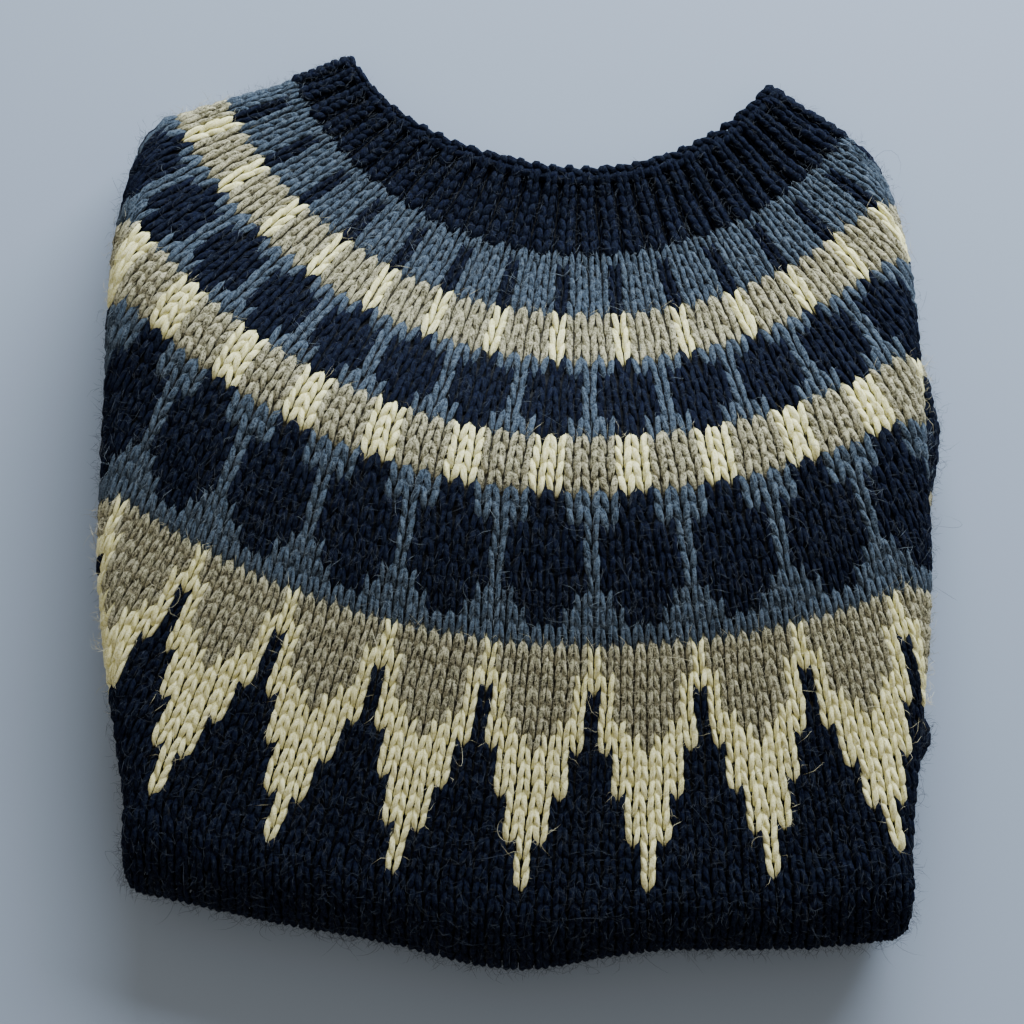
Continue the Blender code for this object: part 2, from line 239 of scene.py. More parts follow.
def on_cloth(repeat, radius):
    """Outer face of the front, and of the body past the start of the bottom fold."""
    angle = repeat_angle(repeat, radius)
    front, front_turn = on_front(np.minimum(radius, R_FOLD), angle)
    body, body_turn = on_body(np.maximum(radius - R_FOLD, 0.0), angle)
    past = radius > R_FOLD
    return np.where(past[..., None], body, front), np.where(past, body_turn, front_turn)


PRESSED = 0.0014
CREASE = 0.0010
RIDGE = 0.0022
TROUGH = 0.0036


def settle(points):
    """Lets the pile sag in soft creases, and presses it flat where it rests."""
    x, y, z = points[..., 0], points[..., 1], points[..., 2]
    radius = np.hypot(x - APEX_X, y - APEX_Y)
    sag = RIDGE * hump(radius, 0.270, 0.075) - TROUGH * hump(radius, 0.184, 0.050)
    z = z + sag * ease((z - 0.008) / 0.030)
    ripple = np.sin(31.0 * x + 17.0 * y + 0.6) * np.sin(23.0 * y - 11.0 * x + 1.9)
    ripple = ripple + 0.6 * np.sin(64.0 * x - 29.0 * y) * np.sin(41.0 * y + 13.0 * x + 0.4)
    z = z + CREASE * ripple * np.clip(z / 0.045, 0.0, 1.0)
    pressed = PRESSED * np.exp(np.minimum(z - PRESSED, 0.0) / PRESSED)
    points[..., 2] = np.where(z < PRESSED, pressed, z)
    return points


def cloth_shell(node, name, inset):
    """A CAD solid's form as a thin cloth, drawn in to lie just under its stitches."""
    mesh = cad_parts[node].data.copy()
    mesh.materials.clear()
    piece = bpy.data.objects.new(name, mesh)
    bpy.context.scene.collection.objects.link(piece)
    piece.select_set(True)
    bpy.context.view_layer.objects.active = piece
    bpy.ops.mesh.customdata_custom_splitnormals_clear()
    bpy.ops.object.mode_set(mode="EDIT")
    bpy.ops.mesh.select_all(action="SELECT")
    bpy.ops.mesh.remove_doubles(threshold=0.00001)
    bpy.ops.mesh.tris_convert_to_quads()
    bpy.ops.object.mode_set(mode="OBJECT")
    soften = piece.modifiers.new("soften", "SUBSURF")
    soften.levels = soften.render_levels = 1
    draw_in = piece.modifiers.new("draw in", "DISPLACE")
    draw_in.mid_level = 0.0
    draw_in.strength = -inset
    bpy.ops.object.modifier_apply(modifier="soften")
    bpy.ops.object.modifier_apply(modifier="draw in")
    bpy.ops.object.shade_smooth()
    place = np.zeros(3 * len(piece.data.vertices), np.float32)
    piece.data.vertices.foreach_get("co", place)
    piece.data.vertices.foreach_set("co", settle(place.reshape(-1, 3)).ravel())
    piece.data.update()
    piece.select_set(False)
    return piece


# One leg of a stitch is a leaf of yarn, modelled once and copied: (how far along, how wide).
LEG_RINGS = ((0.08, 0.50), (0.30, 0.92), (0.62, 1.00), (0.88, 0.62))
HIDDEN_LEG_RINGS = ((0.14, 0.72), (0.50, 1.00), (0.84, 0.66))


def leg_model(sides, rings):
    """A leaf shaped from a sphere: each ring is moved along it and widened or narrowed."""
    bpy.ops.mesh.primitive_uv_sphere_add(segments=sides, ring_count=len(rings) + 1, radius=1.0)
    leg = bpy.context.active_object
    bpy.ops.object.mode_set(mode="EDIT")
    bpy.ops.mesh.select_all(action="DESELECT")
    bpy.ops.object.mode_set(mode="OBJECT")
    heights = sorted({round(v.co.z, 4) for v in leg.data.vertices})[1:-1]
    for height, (along, wide) in zip(heights, rings):
        ring = [v for v in leg.data.vertices if abs(v.co.z - height) < 0.001]
        for v in ring:
            v.select = True
        grow = wide / math.hypot(ring[0].co.x, ring[0].co.y)
        bpy.ops.object.mode_set(mode="EDIT")
        bpy.ops.transform.resize(value=(grow, grow, 1.0), center_override=(0.0, 0.0, 0.0))
        bpy.ops.transform.translate(value=(0.0, 0.0, 2.0 * along - 1.0 - height))
        bpy.ops.mesh.select_all(action="DESELECT")
        bpy.ops.object.mode_set(mode="OBJECT")
    points = np.array([v.co for v in leg.data.vertices])
    faces = [list(f.vertices) for f in leg.data.polygons]
    corners = np.array([d.uv for d in leg.data.uv_layers.active.data])
    bpy.data.objects.remove(leg)
    return points, faces, corners


shown_leg = leg_model(6, LEG_RINGS)
hidden_leg = leg_model(4, HIDDEN_LEG_RINGS)

# Where a leg starts and ends, in widths and heights of a stitch, and its own half sizes.
LEG_SPREAD = (0.405, 0.120)
LEG_SPAN = (-0.98, 0.94)
LEG_WIDE = 0.222
LEG_THICK = 0.00130
BURIED = -0.0017
ARCH = 0.0013
TUCK = 0.0010


def joined(name, points, faces, corners, uv, shade):
    """Many copies of one small shape as a single mesh, with its map and its shades."""
    copies = len(points)
    each = points.shape[1]
    loops = np.concatenate([np.array(f) for f in faces])
    sizes = np.array([len(f) for f in faces])
    mesh = bpy.data.meshes.new(name)
    mesh.vertices.add(copies * each)
    mesh.vertices.foreach_set("co", points.astype(np.float32).ravel())
    mesh.loops.add(copies * len(loops))
    index = loops[None, :] + each * np.arange(copies)[:, None]
    mesh.loops.foreach_set("vertex_index", index.astype(np.int32).ravel())
    mesh.polygons.add(copies * len(sizes))
    starts = np.concatenate(([0], np.cumsum(np.tile(sizes, copies))[:-1]))
    mesh.polygons.foreach_set("loop_start", starts.astype(np.int32))
    mesh.update(calc_edges=True)
    if corners is not None:
        layer = mesh.uv_layers.new(name="yarn")
        layer.uv.foreach_set("vector", (corners[None, :, :] + uv[:, None, :]).astype(np.float32).ravel())
    tint = mesh.attributes.new("shade", "FLOAT", "POINT")
    tint.data.foreach_set("value", np.repeat(shade, each).astype(np.float32))
    mesh.shade_smooth()
    piece = bpy.data.objects.new(name, mesh)
    bpy.context.scene.collection.objects.link(piece)
    return piece


def face_normal(place, across, down, way):
    """Outward normal of the cloth at each point, from its two neighbours."""
    here = place(across, down)[0]
    aside = place(across + 0.01, down)[0] - here
    ahead = place(across, down + 0.0003)[0] - here
    normal = np.cross(ahead, aside) * way
    return here, normal / np.maximum(np.linalg.norm(normal, axis=-1, keepdims=True), 1e-12)


def knit(name, place, across, width, down, height, seed, leg=shown_leg, lift=0.0, way=1.0, plump=1.0):
    """Lays two legs for each stitch: a V that points down the cloth to the hem."""
    leg_points, leg_faces, leg_uv = leg
    rng = np.random.default_rng(seed)
    count = len(across)
    across, width, down, height = (np.repeat(v * np.ones(count), 2) for v in (across, width, down, height))
    hand = np.tile((-1.0, 1.0), count)
    along = 0.5 * (leg_points[:, 2] + 1.0)[None, :]
    loose = rng.normal(0.0, 1.0, (2 * count, 5))
    size = plump * (1.0 + 0.06 * loose[:, 0:1])
    spread = mix(LEG_SPREAD[0] + 0.02 * loose[:, 1:2], LEG_SPREAD[1] + 0.015 * loose[:, 2:3], along ** 1.15)
    wander = 0.05 * np.sin(2.1 * across + 190.0 * down) + 0.04 * np.sin(5.3 * across - 310.0 * down + 1.0)
    sideways = wander[:, None] + hand[:, None] * spread + way * LEG_WIDE * size * leg_points[None, :, 0]
    lengthways = mix(LEG_SPAN[0], LEG_SPAN[1], along) + 0.07 * loose[:, 3:4]
    rise = BURIED + lift + ARCH * np.sin(math.pi * np.clip(0.10 + 0.86 * along, 0.0, 1.0)) + 0.0005 * along
    rise = rise - TUCK * np.clip((0.12 - along) / 0.12, 0.0, 1.0)
    rise = rise - TUCK * np.clip((along - 0.84) / 0.16, 0.0, 1.0)
    out = rise + 0.00012 * loose[:, 4:5] + LEG_THICK * size * leg_points[None, :, 1]
    cloth, normal = face_normal(
        place,
        across[:, None] + sideways * width[:, None],
        down[:, None] + lengthways * height[:, None],
        way,
    )
    points = settle(cloth + normal * out[..., None])
    offsets = rng.uniform(0.0, 40.0, (2 * count, 2))
    shade = np.repeat(rng.uniform(0.0, 1.0, count), 2) * 0.6 + rng.uniform(0.0, 0.4, 2 * count)
    return joined(name, points, leg_faces, leg_uv, offsets, shade)


# The chart, from the neck down: (rows, height of a row, stitches of one repeat).
# n is navy, b blue, g grey and c cream; the repeat starts at its separator.
CHART = (
    (1, 0.0058, "bbbb"),
    (4, 0.0058, "bbnb"),
    (3, 0.0070, "ggcg"),
    (1, 0.0070, "bbnb"),
    (3, 0.0070, "bnnnn"),
    (1, 0.0078, "bbnnb"),
    (4, 0.0056, "ggccg"),
    (2, 0.0063, "bbnnb"),
    (3, 0.0063, "bnnnnn"),
    (1, 0.0063, "bnnnnnnn"),
    (1, 0.0063, "bbnnnnnb"),
    (1, 0.0063, "bbbnnnbb"),
    (1, 0.0070, "bbbbbbbb"),
    (2, 0.0054, "cggggggg"),
    (1, 0.0054, "ccgggggc"),
    (2, 0.0054, "ncgggggc"),
    (1, 0.0054, "nccgggcc"),
    (1, 0.0054, "ncccgccc"),
    (3, 0.0054, "nncccccn"),
    (3, 0.0054, "nnncccnn"),
    (3, 0.0054, "nnnncnnn"),
)
REPEATS = range(-13, 12)
TURNED_UNDER = 0.97 * math.pi


def read_chart(rows_used, repeats):
    """Place, width, middle and height of every stitch, for each colour."""
    charted = {colour: [] for colour in "nbgc"}
    row_top = R_YOKE
    for rows, row_height, stitches in rows_used:
        wide = 1.0 / len(stitches)
        aside = 0.1 if len(stitches) == 5 else 0.0
        for row in range(rows):
            for repeat in repeats:
                for column, colour in enumerate(stitches):
                    place = repeat + (column - len(stitches) // 2) * wide - aside
                    charted[colour].append((place, wide, row_top + 0.5 * row_height, row_height))
            row_top += row_height
    return charted


charted = read_chart(CHART, REPEATS)


def on_front_side(stitches):
    """The stitches that lie on the front and its side folds, up to where those tuck under."""
    stitches = np.array(stitches)
    turn = on_cloth(stitches[:, 0], stitches[:, 2])[1]
    return stitches[turn < TURNED_UNDER]


def new_group(name, inputs, outputs):
    group = bpy.data.node_groups.new(name, "ShaderNodeTree")
    for label, kind in inputs:
        group.interface.new_socket(label, in_out="INPUT", socket_type=kind)
    for label, kind in outputs:
        group.interface.new_socket(label, in_out="OUTPUT", socket_type=kind)
    return group, group.nodes.new("NodeGroupInput"), group.nodes.new("NodeGroupOutput")


def math_node(tree, operation, first, second):
    node = tree.nodes.new("ShaderNodeMath")
    node.operation = operation
    for socket, value in zip(node.inputs, (first, second)):
        if isinstance(value, (int, float)):
            socket.default_value = value
        else:
            tree.links.new(value, socket)
    return node.outputs[0]


def noise_node(tree, vector, scale, detail):
    node = tree.nodes.new("ShaderNodeTexNoise")
    node.inputs["Scale"].default_value = scale
    node.inputs["Detail"].default_value = detail
    node.inputs["Roughness"].default_value = 0.6
    tree.links.new(vector, node.inputs["Vector"])
    return node.outputs["Fac"]


# Wool group: plies wind round each leg, fibres of two shades lie along the plies, and
# loose hairs curl over the whole cloth, each layer of them along one level of a noise.
wool, given, result = new_group(
    "wool yarn",
    (
        ("Leg", "NodeSocketVector"),
        ("Place", "NodeSocketVector"),
        ("Shade", "NodeSocketFloat"),
        ("Dark", "NodeSocketColor"),
        ("Light", "NodeSocketColor"),
        ("Hair", "NodeSocketColor"),
        ("Heather", "NodeSocketFloat"),
        ("Ply", "NodeSocketFloat"),
    ),
    (("Color", "NodeSocketColor"), ("Height", "NodeSocketFloat")),
)
leg_map = wool.nodes.new("ShaderNodeSeparateXYZ")
wool.links.new(given.outputs["Leg"], leg_map.inputs[0])
wound = math_node(wool, "ADD", leg_map.outputs["X"], math_node(wool, "MULTIPLY", leg_map.outputs["Y"], 0.55))
fibre_map = wool.nodes.new("ShaderNodeCombineXYZ")
wool.links.new(math_node(wool, "MULTIPLY", wound, 12.0), fibre_map.inputs["X"])
wool.links.new(math_node(wool, "MULTIPLY", leg_map.outputs["Y"], 3.6), fibre_map.inputs["Y"])
wool.links.new(math_node(wool, "MULTIPLY", given.outputs["Shade"], 60.0), fibre_map.inputs["Z"])
fibres = noise_node(wool, fibre_map.outputs[0], 1.0, 3.0)
plies = math_node(wool, "SINE", math_node(wool, "MULTIPLY", wound, 4.0 * math.pi), 0.0)
plies = math_node(wool, "MULTIPLY", plies, given.outputs["Ply"])
spread = wool.nodes.new("ShaderNodeMapRange")
spread.inputs["From Min"].default_value = 0.42
spread.inputs["From Max"].default_value = 0.58
wool.links.new(fibres, spread.inputs["Value"])
flecks = math_node(wool, "MULTIPLY", spread.outputs[0], given.outputs["Heather"])
shaded = math_node(wool, "MULTIPLY", math_node(wool, "SUBTRACT", given.outputs["Shade"], 0.5), 0.22)
blend = wool.nodes.new("ShaderNodeMix")
blend.data_type = "RGBA"
blend.clamp_factor = True
wool.links.new(math_node(wool, "ADD", flecks, math_node(wool, "ADD", shaded, 0.15)), blend.inputs["Factor"])
wool.links.new(given.outputs["Dark"], blend.inputs[6])
wool.links.new(given.outputs["Light"], blend.inputs[7])
hairy = blend.outputs[2]
HAIR_LAYERS = ((330.0, 0.80, "Hair"), (470.0, 0.75, "Dark"), (610.0, 0.65, "Hair"))
for scale, strength, hair_colour in HAIR_LAYERS:
    swirl = noise_node(wool, given.outputs["Place"], scale, 1.0)
    level = math_node(wool, "ABSOLUTE", math_node(wool, "SUBTRACT", swirl, 0.5), 0.0)
    thin_line = wool.nodes.new("ShaderNodeMapRange")
    thin_line.inputs["From Max"].default_value = 0.055
    thin_line.inputs["To Min"].default_value = strength
    thin_line.inputs["To Max"].default_value = 0.0
    wool.links.new(level, thin_line.inputs["Value"])
    over = wool.nodes.new("ShaderNodeMix")
    over.data_type = "RGBA"
    wool.links.new(thin_line.outputs[0], over.inputs["Factor"])
    wool.links.new(hairy, over.inputs[6])
    wool.links.new(given.outputs[hair_colour], over.inputs[7])
    hairy = over.outputs[2]
wool.links.new(hairy, result.inputs["Color"])
raised = math_node(wool, "ADD", math_node(wool, "MULTIPLY", fibres, 0.8), plies)
wool.links.new(raised, result.inputs["Height"])


def yarn(name, dark, light, hair, heather, ply, sheen):
    """One dyed wool: two shades of fibre, its plies in relief, paler hairs and a soft sheen."""
    material = bpy.data.materials.new(name)
    material.use_nodes = True
    tree = material.node_tree
    shader = tree.nodes["Principled BSDF"]
    shader.inputs["Roughness"].default_value = 0.92
    shader.inputs["Specular IOR Level"].default_value = 0.06
    shader.inputs["Sheen Weight"].default_value = sheen
    shader.inputs["Sheen Roughness"].default_value = 0.55
    leg_place = tree.nodes.new("ShaderNodeUVMap")
    leg_place.uv_map = "yarn"
    leg_shade = tree.nodes.new("ShaderNodeAttribute")
    leg_shade.attribute_name = "shade"
    fibre = tree.nodes.new("ShaderNodeGroup")
    fibre.node_tree = wool
    fibre.inputs["Dark"].default_value = dark
    fibre.inputs["Light"].default_value = light
    fibre.inputs["Hair"].default_value = hair
    fibre.inputs["Heather"].default_value = heather
    fibre.inputs["Ply"].default_value = ply
    tree.links.new(leg_place.outputs["UV"], fibre.inputs["Leg"])
    tree.links.new(tree.nodes.new("ShaderNodeTexCoord").outputs["Object"], fibre.inputs["Place"])
    tree.links.new(leg_shade.outputs["Fac"], fibre.inputs["Shade"])
    tree.links.new(fibre.outputs["Color"], shader.inputs["Base Color"])
    relief = tree.nodes.new("ShaderNodeBump")
    relief.inputs["Strength"].default_value = 0.8
    relief.inputs["Distance"].default_value = 0.0004
    tree.links.new(fibre.outputs["Height"], relief.inputs["Height"])
    tree.links.new(relief.outputs["Normal"], shader.inputs["Normal"])
    return material


# Dark, light and hair colour, then how much heather, ply and sheen.
WOOLS = {
    "n": ("navy", "navy wool", (0.0004, 0.0008, 0.0030, 1), (0.0040, 0.0069, 0.0240, 1),
          (0.012, 0.018, 0.036, 1), 0.8, 0.4, 0.0),
    "b": ("blue", "blue heather wool", (0.004, 0.008, 0.016, 1), (0.058, 0.086, 0.132, 1),
          (0.105, 0.140, 0.190, 1), 0.95, 0.4, 0.04),
    "g": ("grey", "grey heather wool", (0.022, 0.018, 0.010, 1), (0.370, 0.358, 0.235, 1),
          (0.560, 0.530, 0.390, 1), 1.0, 0.4, 0.04),
    "c": ("cream", "cream wool", (0.590, 0.540, 0.230, 1), (0.960, 0.930, 0.520, 1),
          (0.990, 0.970, 0.660, 1), 0.9, 0.6, 0.04),
}
YARNS = {colour: (wool_spec[0], yarn(*wool_spec[1:])) for colour, wool_spec in WOOLS.items()}


def fibre_model(segments):
    """One loose fibre: a thin closed sliver with three sides, in a few straight lengths."""
    bpy.ops.mesh.primitive_uv_sphere_add(segments=3, ring_count=segments, radius=1.0)
    fibre = bpy.context.active_object
    points = np.array([v.co for v in fibre.data.vertices])
    faces = [list(f.vertices) for f in fibre.data.polygons]
    bpy.data.objects.remove(fibre)
    row = np.round(np.arccos(np.clip(points[:, 2], -1.0, 1.0)) / math.pi * segments).astype(int)
    return points, faces, row


short_fibre = fibre_model(2)
long_fibre = fibre_model(8)
FIBRE_RADIUS = 0.00009
FUZZ_DEPTH = 0.0055


def halo(name, place, across, width, down, height, each, length, seed, way=1.0,
         fibre=short_fibre, radius=FIBRE_RADIUS, lean=(6.0, 60.0), curl=(0.5, 2.2), stand=0.0007):
    """Loose fibres that rise out of the stitches and curl over them."""
    fibre_points, fibre_faces, row = fibre
    rng = np.random.default_rng(seed)
    count = int(each * len(across))
    from_stitch = rng.integers(0, len(across), count)
    across = across[from_stitch] + width[from_stitch] * rng.uniform(-0.5, 0.5, count)
    down = down[from_stitch] + height[from_stitch] * rng.uniform(-0.5, 0.5, count)
    root, normal = face_normal(place, across, down, way)
    aside = np.cross(normal, rng.normal(0.0, 1.0, (count, 3)))
    aside /= np.linalg.norm(aside, axis=1, keepdims=True)
    lean = np.radians(rng.uniform(*lean, (count, 1)))
    ahead = np.cos(lean) * aside + np.sin(lean) * normal
    curl_to = np.cross(ahead, rng.normal(0.0, 1.0, (count, 3)))
    curl_to /= np.linalg.norm(curl_to, axis=1, keepdims=True)
    third = np.cross(ahead, curl_to)
    curl = rng.uniform(*curl, (count, 1))
    size = length * np.exp(rng.normal(0.0, 0.40, (count, 1)))
    along = np.linspace(0.0, 1.0, row.max() + 1)[None, :]
    turned = curl * along
    reach = (size / curl)[..., None]
    run, drift = np.sin(turned)[..., None], 1.0 - np.cos(turned)[..., None]
    line = reach * (run * ahead[:, None, :] + drift * curl_to[:, None, :])
    above = np.sum(line * normal[:, None, :], -1, keepdims=True)
    line = line + (FUZZ_DEPTH * np.tanh(above / FUZZ_DEPTH) - above) * normal[:, None, :]
    line = line + (root + stand * normal)[:, None, :]
    heading = np.cos(turned)[..., None] * ahead[:, None, :] + run * curl_to[:, None, :]
    inward = np.cross(third[:, None, :], heading)
    thin = (radius * (1.0 - 0.5 * along[0, row]))[None, :, None]
    points = line[:, row, :] + thin * (
        fibre_points[None, :, 0:1] * third[:, None, :] + fibre_points[None, :, 1:2] * inward[:, row, :]
    )
    points[..., 2] = np.maximum(points[..., 2], 0.0002)
    return joined(name, settle(points), fibre_faces, None, None, rng.uniform(0.0, 1.0, count))


def loose_wool(name, dark, light):
    """The same wool as single fibres, of mixed shades."""
    material = bpy.data.materials.new(name)
    material.use_nodes = True
    tree = material.node_tree
    shader = tree.nodes["Principled BSDF"]
    shader.inputs["Roughness"].default_value = 0.7
    shade = tree.nodes.new("ShaderNodeAttribute")
    shade.attribute_name = "shade"
    ramp = tree.nodes.new("ShaderNodeValToRGB")
    ramp.color_ramp.elements[0].color = dark
    ramp.color_ramp.elements[1].color = light
    tree.links.new(shade.outputs["Fac"], ramp.inputs["Fac"])
    tree.links.new(ramp.outputs["Color"], shader.inputs["Base Color"])
    return material


FUZZ = {
    "n": loose_wool("navy fibres", (0.001, 0.002, 0.006, 1), (0.036, 0.052, 0.086, 1)),
    "b": loose_wool("blue fibres", (0.012, 0.020, 0.034, 1), (0.200, 0.250, 0.310, 1)),
    "g": loose_wool("grey fibres", (0.030, 0.026, 0.018, 1), (0.560, 0.520, 0.370, 1)),
    "c": loose_wool("cream fibres", (0.400, 0.360, 0.220, 1), (0.900, 0.860, 0.620, 1)),
}

# The cloth under the stitches, seen only in the gaps between them: nearly black between navy ones, paler
# under the pale bands. Its colours follow each band's yarns but are painted far darker than those yarns, as
# painted shade for the gaps.
ground = bpy.data.materials.new("knitted ground with painted shade")
ground.use_nodes = True
ground_shader = ground.node_tree.nodes["Principled BSDF"]
ground_shader.inputs["Roughness"].default_value = 0.95
ground_place = ground.node_tree.nodes.new("ShaderNodeTexCoord").outputs["Object"]
ground_fibres = noise_node(ground.node_tree, ground_place, 900.0, 4.0)
ground_from_apex = ground.node_tree.nodes.new("ShaderNodeVectorMath")
ground_from_apex.operation = "DISTANCE"
ground_flat = ground.node_tree.nodes.new("ShaderNodeVectorMath")
ground_flat.operation = "MULTIPLY"
ground_flat.inputs[1].default_value = (1.0, 1.0, 0.0)
ground.node_tree.links.new(ground_place, ground_flat.inputs[0])
ground.node_tree.links.new(ground_flat.outputs[0], ground_from_apex.inputs[0])
ground_from_apex.inputs[1].default_value = (APEX_X, APEX_Y, 0.0)
ground_bands = ground.node_tree.nodes.new("ShaderNodeValToRGB")
ground_bands.color_ramp.interpolation = "CONSTANT"
# Ground colour by radius from the apex: each band's mix of yarns, with the pale bands painted far darker
# than their yarns as painted shade between the stitches.
SHADED_BAND_EDGES = (
    (0.1370, (0.008, 0.012, 0.020, 1)),
    (0.1600, (0.090, 0.082, 0.060, 1)),
    (0.1810, (0.004, 0.006, 0.012, 1)),
    (0.2170, (0.090, 0.082, 0.060, 1)),
    (0.2390, (0.004, 0.006, 0.012, 1)),
    (0.2960, (0.080, 0.072, 0.052, 1)),
    (0.3280, (0.030, 0.028, 0.024, 1)),
    (0.3450, (0.001, 0.002, 0.004, 1)),
)
ground_bands.color_ramp.elements[0].color = (0.001, 0.002, 0.006, 1)
ground_bands.color_ramp.elements.remove(ground_bands.color_ramp.elements[1])
for band_radius, band_colour in SHADED_BAND_EDGES:
    ground_bands.color_ramp.elements.new(band_radius).color = band_colour
ground.node_tree.links.new(ground_from_apex.outputs["Value"], ground_bands.inputs["Fac"])
ground_colour = ground.node_tree.nodes.new("ShaderNodeMix")
ground_colour.data_type = "RGBA"
ground_colour.blend_type = "MULTIPLY"
ground_colour.inputs["Factor"].default_value = 0.8
ground.node_tree.links.new(ground_bands.outputs["Color"], ground_colour.inputs[6])
ground.node_tree.links.new(ground_fibres, ground_colour.inputs[7])
ground.node_tree.links.new(ground_colour.outputs[2], ground_shader.inputs["Base Color"])
GROUND_ROW = 0.0058
ground_relief = ground.node_tree.nodes.new("ShaderNodeBump")
ground_relief.inputs["Distance"].default_value = 0.0010
ground_turns = 2.0 * math.pi / GROUND_ROW
ground_rows = math_node(ground.node_tree, "MULTIPLY", ground_from_apex.outputs["Value"], ground_turns)
ground_rows = math_node(ground.node_tree, "SINE", ground_rows, 0.0)
ground_rows = math_node(ground.node_tree, "MULTIPLY", ground_rows, 0.4)
ground_height = math_node(ground.node_tree, "ADD", ground_rows, ground_fibres)
ground.node_tree.links.new(ground_height, ground_relief.inputs["Height"])
ground.node_tree.links.new(ground_relief.outputs["Normal"], ground_shader.inputs["Normal"])

SHELL_INSET = 0.0016

yoke_front = cloth_shell("yoke_front", "yoke_front_cloth", SHELL_INSET)
yoke_front.data.materials.append(ground)
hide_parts("yoke_front")
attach(yoke_front, "root")
# Fibres for each stitch, then long hairs for each stitch.
FUZZ_LENGTH = 0.0052
HAIR_LENGTH = 0.0150
FUZZ_EACH = {"n": 7.6, "b": 7.6, "g": 8.4, "c": 4.6}
STRAY_HAIRS = {"n": 0.16, "b": 0.14, "g": 0.12, "c": 0.04}
STRAY = {"fibre": long_fibre, "radius": 0.00007, "lean": (2.0, 26.0), "curl": (0.6, 4.2), "stand": 0.0013}
front_pieces = []
for seed, colour in enumerate("nbgc"):
    label, wool_yarn = YARNS[colour]
    place, width, middle, height = on_front_side(charted[colour]).T
    piece = knit("yoke_front_" + label, on_cloth, place, width, middle, height, 11 + seed)
    piece.data.materials.append(wool_yarn)
    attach(piece, "root")
    fuzz = halo("yoke_front_fuzz_" + label, on_cloth, place, width, middle, height,
                FUZZ_EACH[colour], FUZZ_LENGTH, 31 + seed)
    hairs = halo("yoke_front_hairs_" + label, on_cloth, place, width, middle, height,
                 STRAY_HAIRS[colour], HAIR_LENGTH, 36 + seed, **STRAY)
    for part in (fuzz, hairs):
        part.data.materials.append(FUZZ[colour])
        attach(part, "root")
    front_pieces += [piece, fuzz, hairs]


# --------------------------------------------------------------------------
# Body.  Plain navy stockinette: the last inches of the front, the thick fold at the
# bottom, and the lower part that lies beneath on the surface, as far as its hem.
# --------------------------------------------------------------------------

body = cloth_shell("body", "body_cloth", SHELL_INSET)
body.data.materials.append(ground)
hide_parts("body")
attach(body, "root")

BODY_ROW = 0.0058
WALES = 8
BODY_FOLD_ROWS = 13
BODY_ROWS = 48
body_wales = np.concatenate([np.arange(r, r + 1, 1 / WALES) for r in REPEATS])


def body_courses(rows):
    """Plain stitches, row after row, on the wales that run down from the yoke."""
    place, row = (v.ravel() for v in np.meshgrid(body_wales, rows))
    middle = R_TIPS + BODY_ROW * (row + 0.5)
    even = np.ones_like(place)
    return on_front_side(np.stack((place, even / WALES, middle, BODY_ROW * even), 1))


stitches = body_courses(np.arange(BODY_FOLD_ROWS))
body_stitches = knit("body_stitches", on_cloth, *stitches.T, 21)
beneath = body_courses(np.arange(BODY_FOLD_ROWS, BODY_ROWS))
beneath = beneath[on_cloth(beneath[:, 0], beneath[:, 2])[0][:, 1] < HEM_SEAM_Y - 0.5 * BODY_ROW]
body_beneath = knit("body_stitches_beneath", on_cloth, *beneath.T, 23, leg=hidden_leg)
for piece in (body_stitches, body_beneath):
    piece.data.materials.append(YARNS["n"][1])
    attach(piece, "root")
body_fuzz = halo("body_fuzz", on_cloth, *stitches.T, 6.4, FUZZ_LENGTH, 22)
body_hairs = halo("body_hairs", on_cloth, *stitches.T, 0.18, 0.0170, 24, **STRAY)
for piece in (body_fuzz, body_hairs):
    piece.data.materials.append(FUZZ["n"])
    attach(piece, "root")


# --------------------------------------------------------------------------
# Neckband.  A rib of one knit and one purl in the navy wool, picked up round the
# yoke and bound off loosely, so that its edge is scalloped.  It lies flattened.
# --------------------------------------------------------------------------

R_NECK = 0.0950
NECK_LIFT = 0.0110
RIB_ROWS = 7

neckband = cloth_shell("neckband", "neckband_cloth", SHELL_INSET)
neckband.data.materials.append(ground)
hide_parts("neckband")
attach(neckband, "root")


def on_neckband(repeat, down):
    """Outer face of the neckband, from its bound-off edge down to the yoke."""
    angle = repeat_angle(repeat, R_YOKE)
    left = fold_angle(np.full_like(angle, R_YOKE), -1)
    right = fold_angle(np.full_like(angle, R_YOKE), 1)
    edge = R_NECK + NECK_LIFT * (1.0 - ease((angle + left) / (left + right) / 0.45))
    scallop = 0.022 * np.cos(4.0 * math.pi * repeat) * np.clip(1.0 - 2.0 * down, 0.0, 1.0)
    return on_ring(repeat, mix(edge, R_YOKE, down - scallop))


def along_edge(down, repeat):
    """The same face for stitches that run along the bound-off edge."""
    return on_neckband(repeat, down)


BACK_MIDDLE = math.radians(-6.0)


def to_back_middle(place, across, down):
    """Which stitches lie on the front, on its folds, or short of the middle of the back."""
    points, turn = place(across, down)
    angle = np.arctan2(points[:, 0] - APEX_X, APEX_Y - points[:, 1])
    near = np.where(across < 0.0, angle < BACK_MIDDLE, angle > BACK_MIDDLE)
    return (turn < math.pi) | near


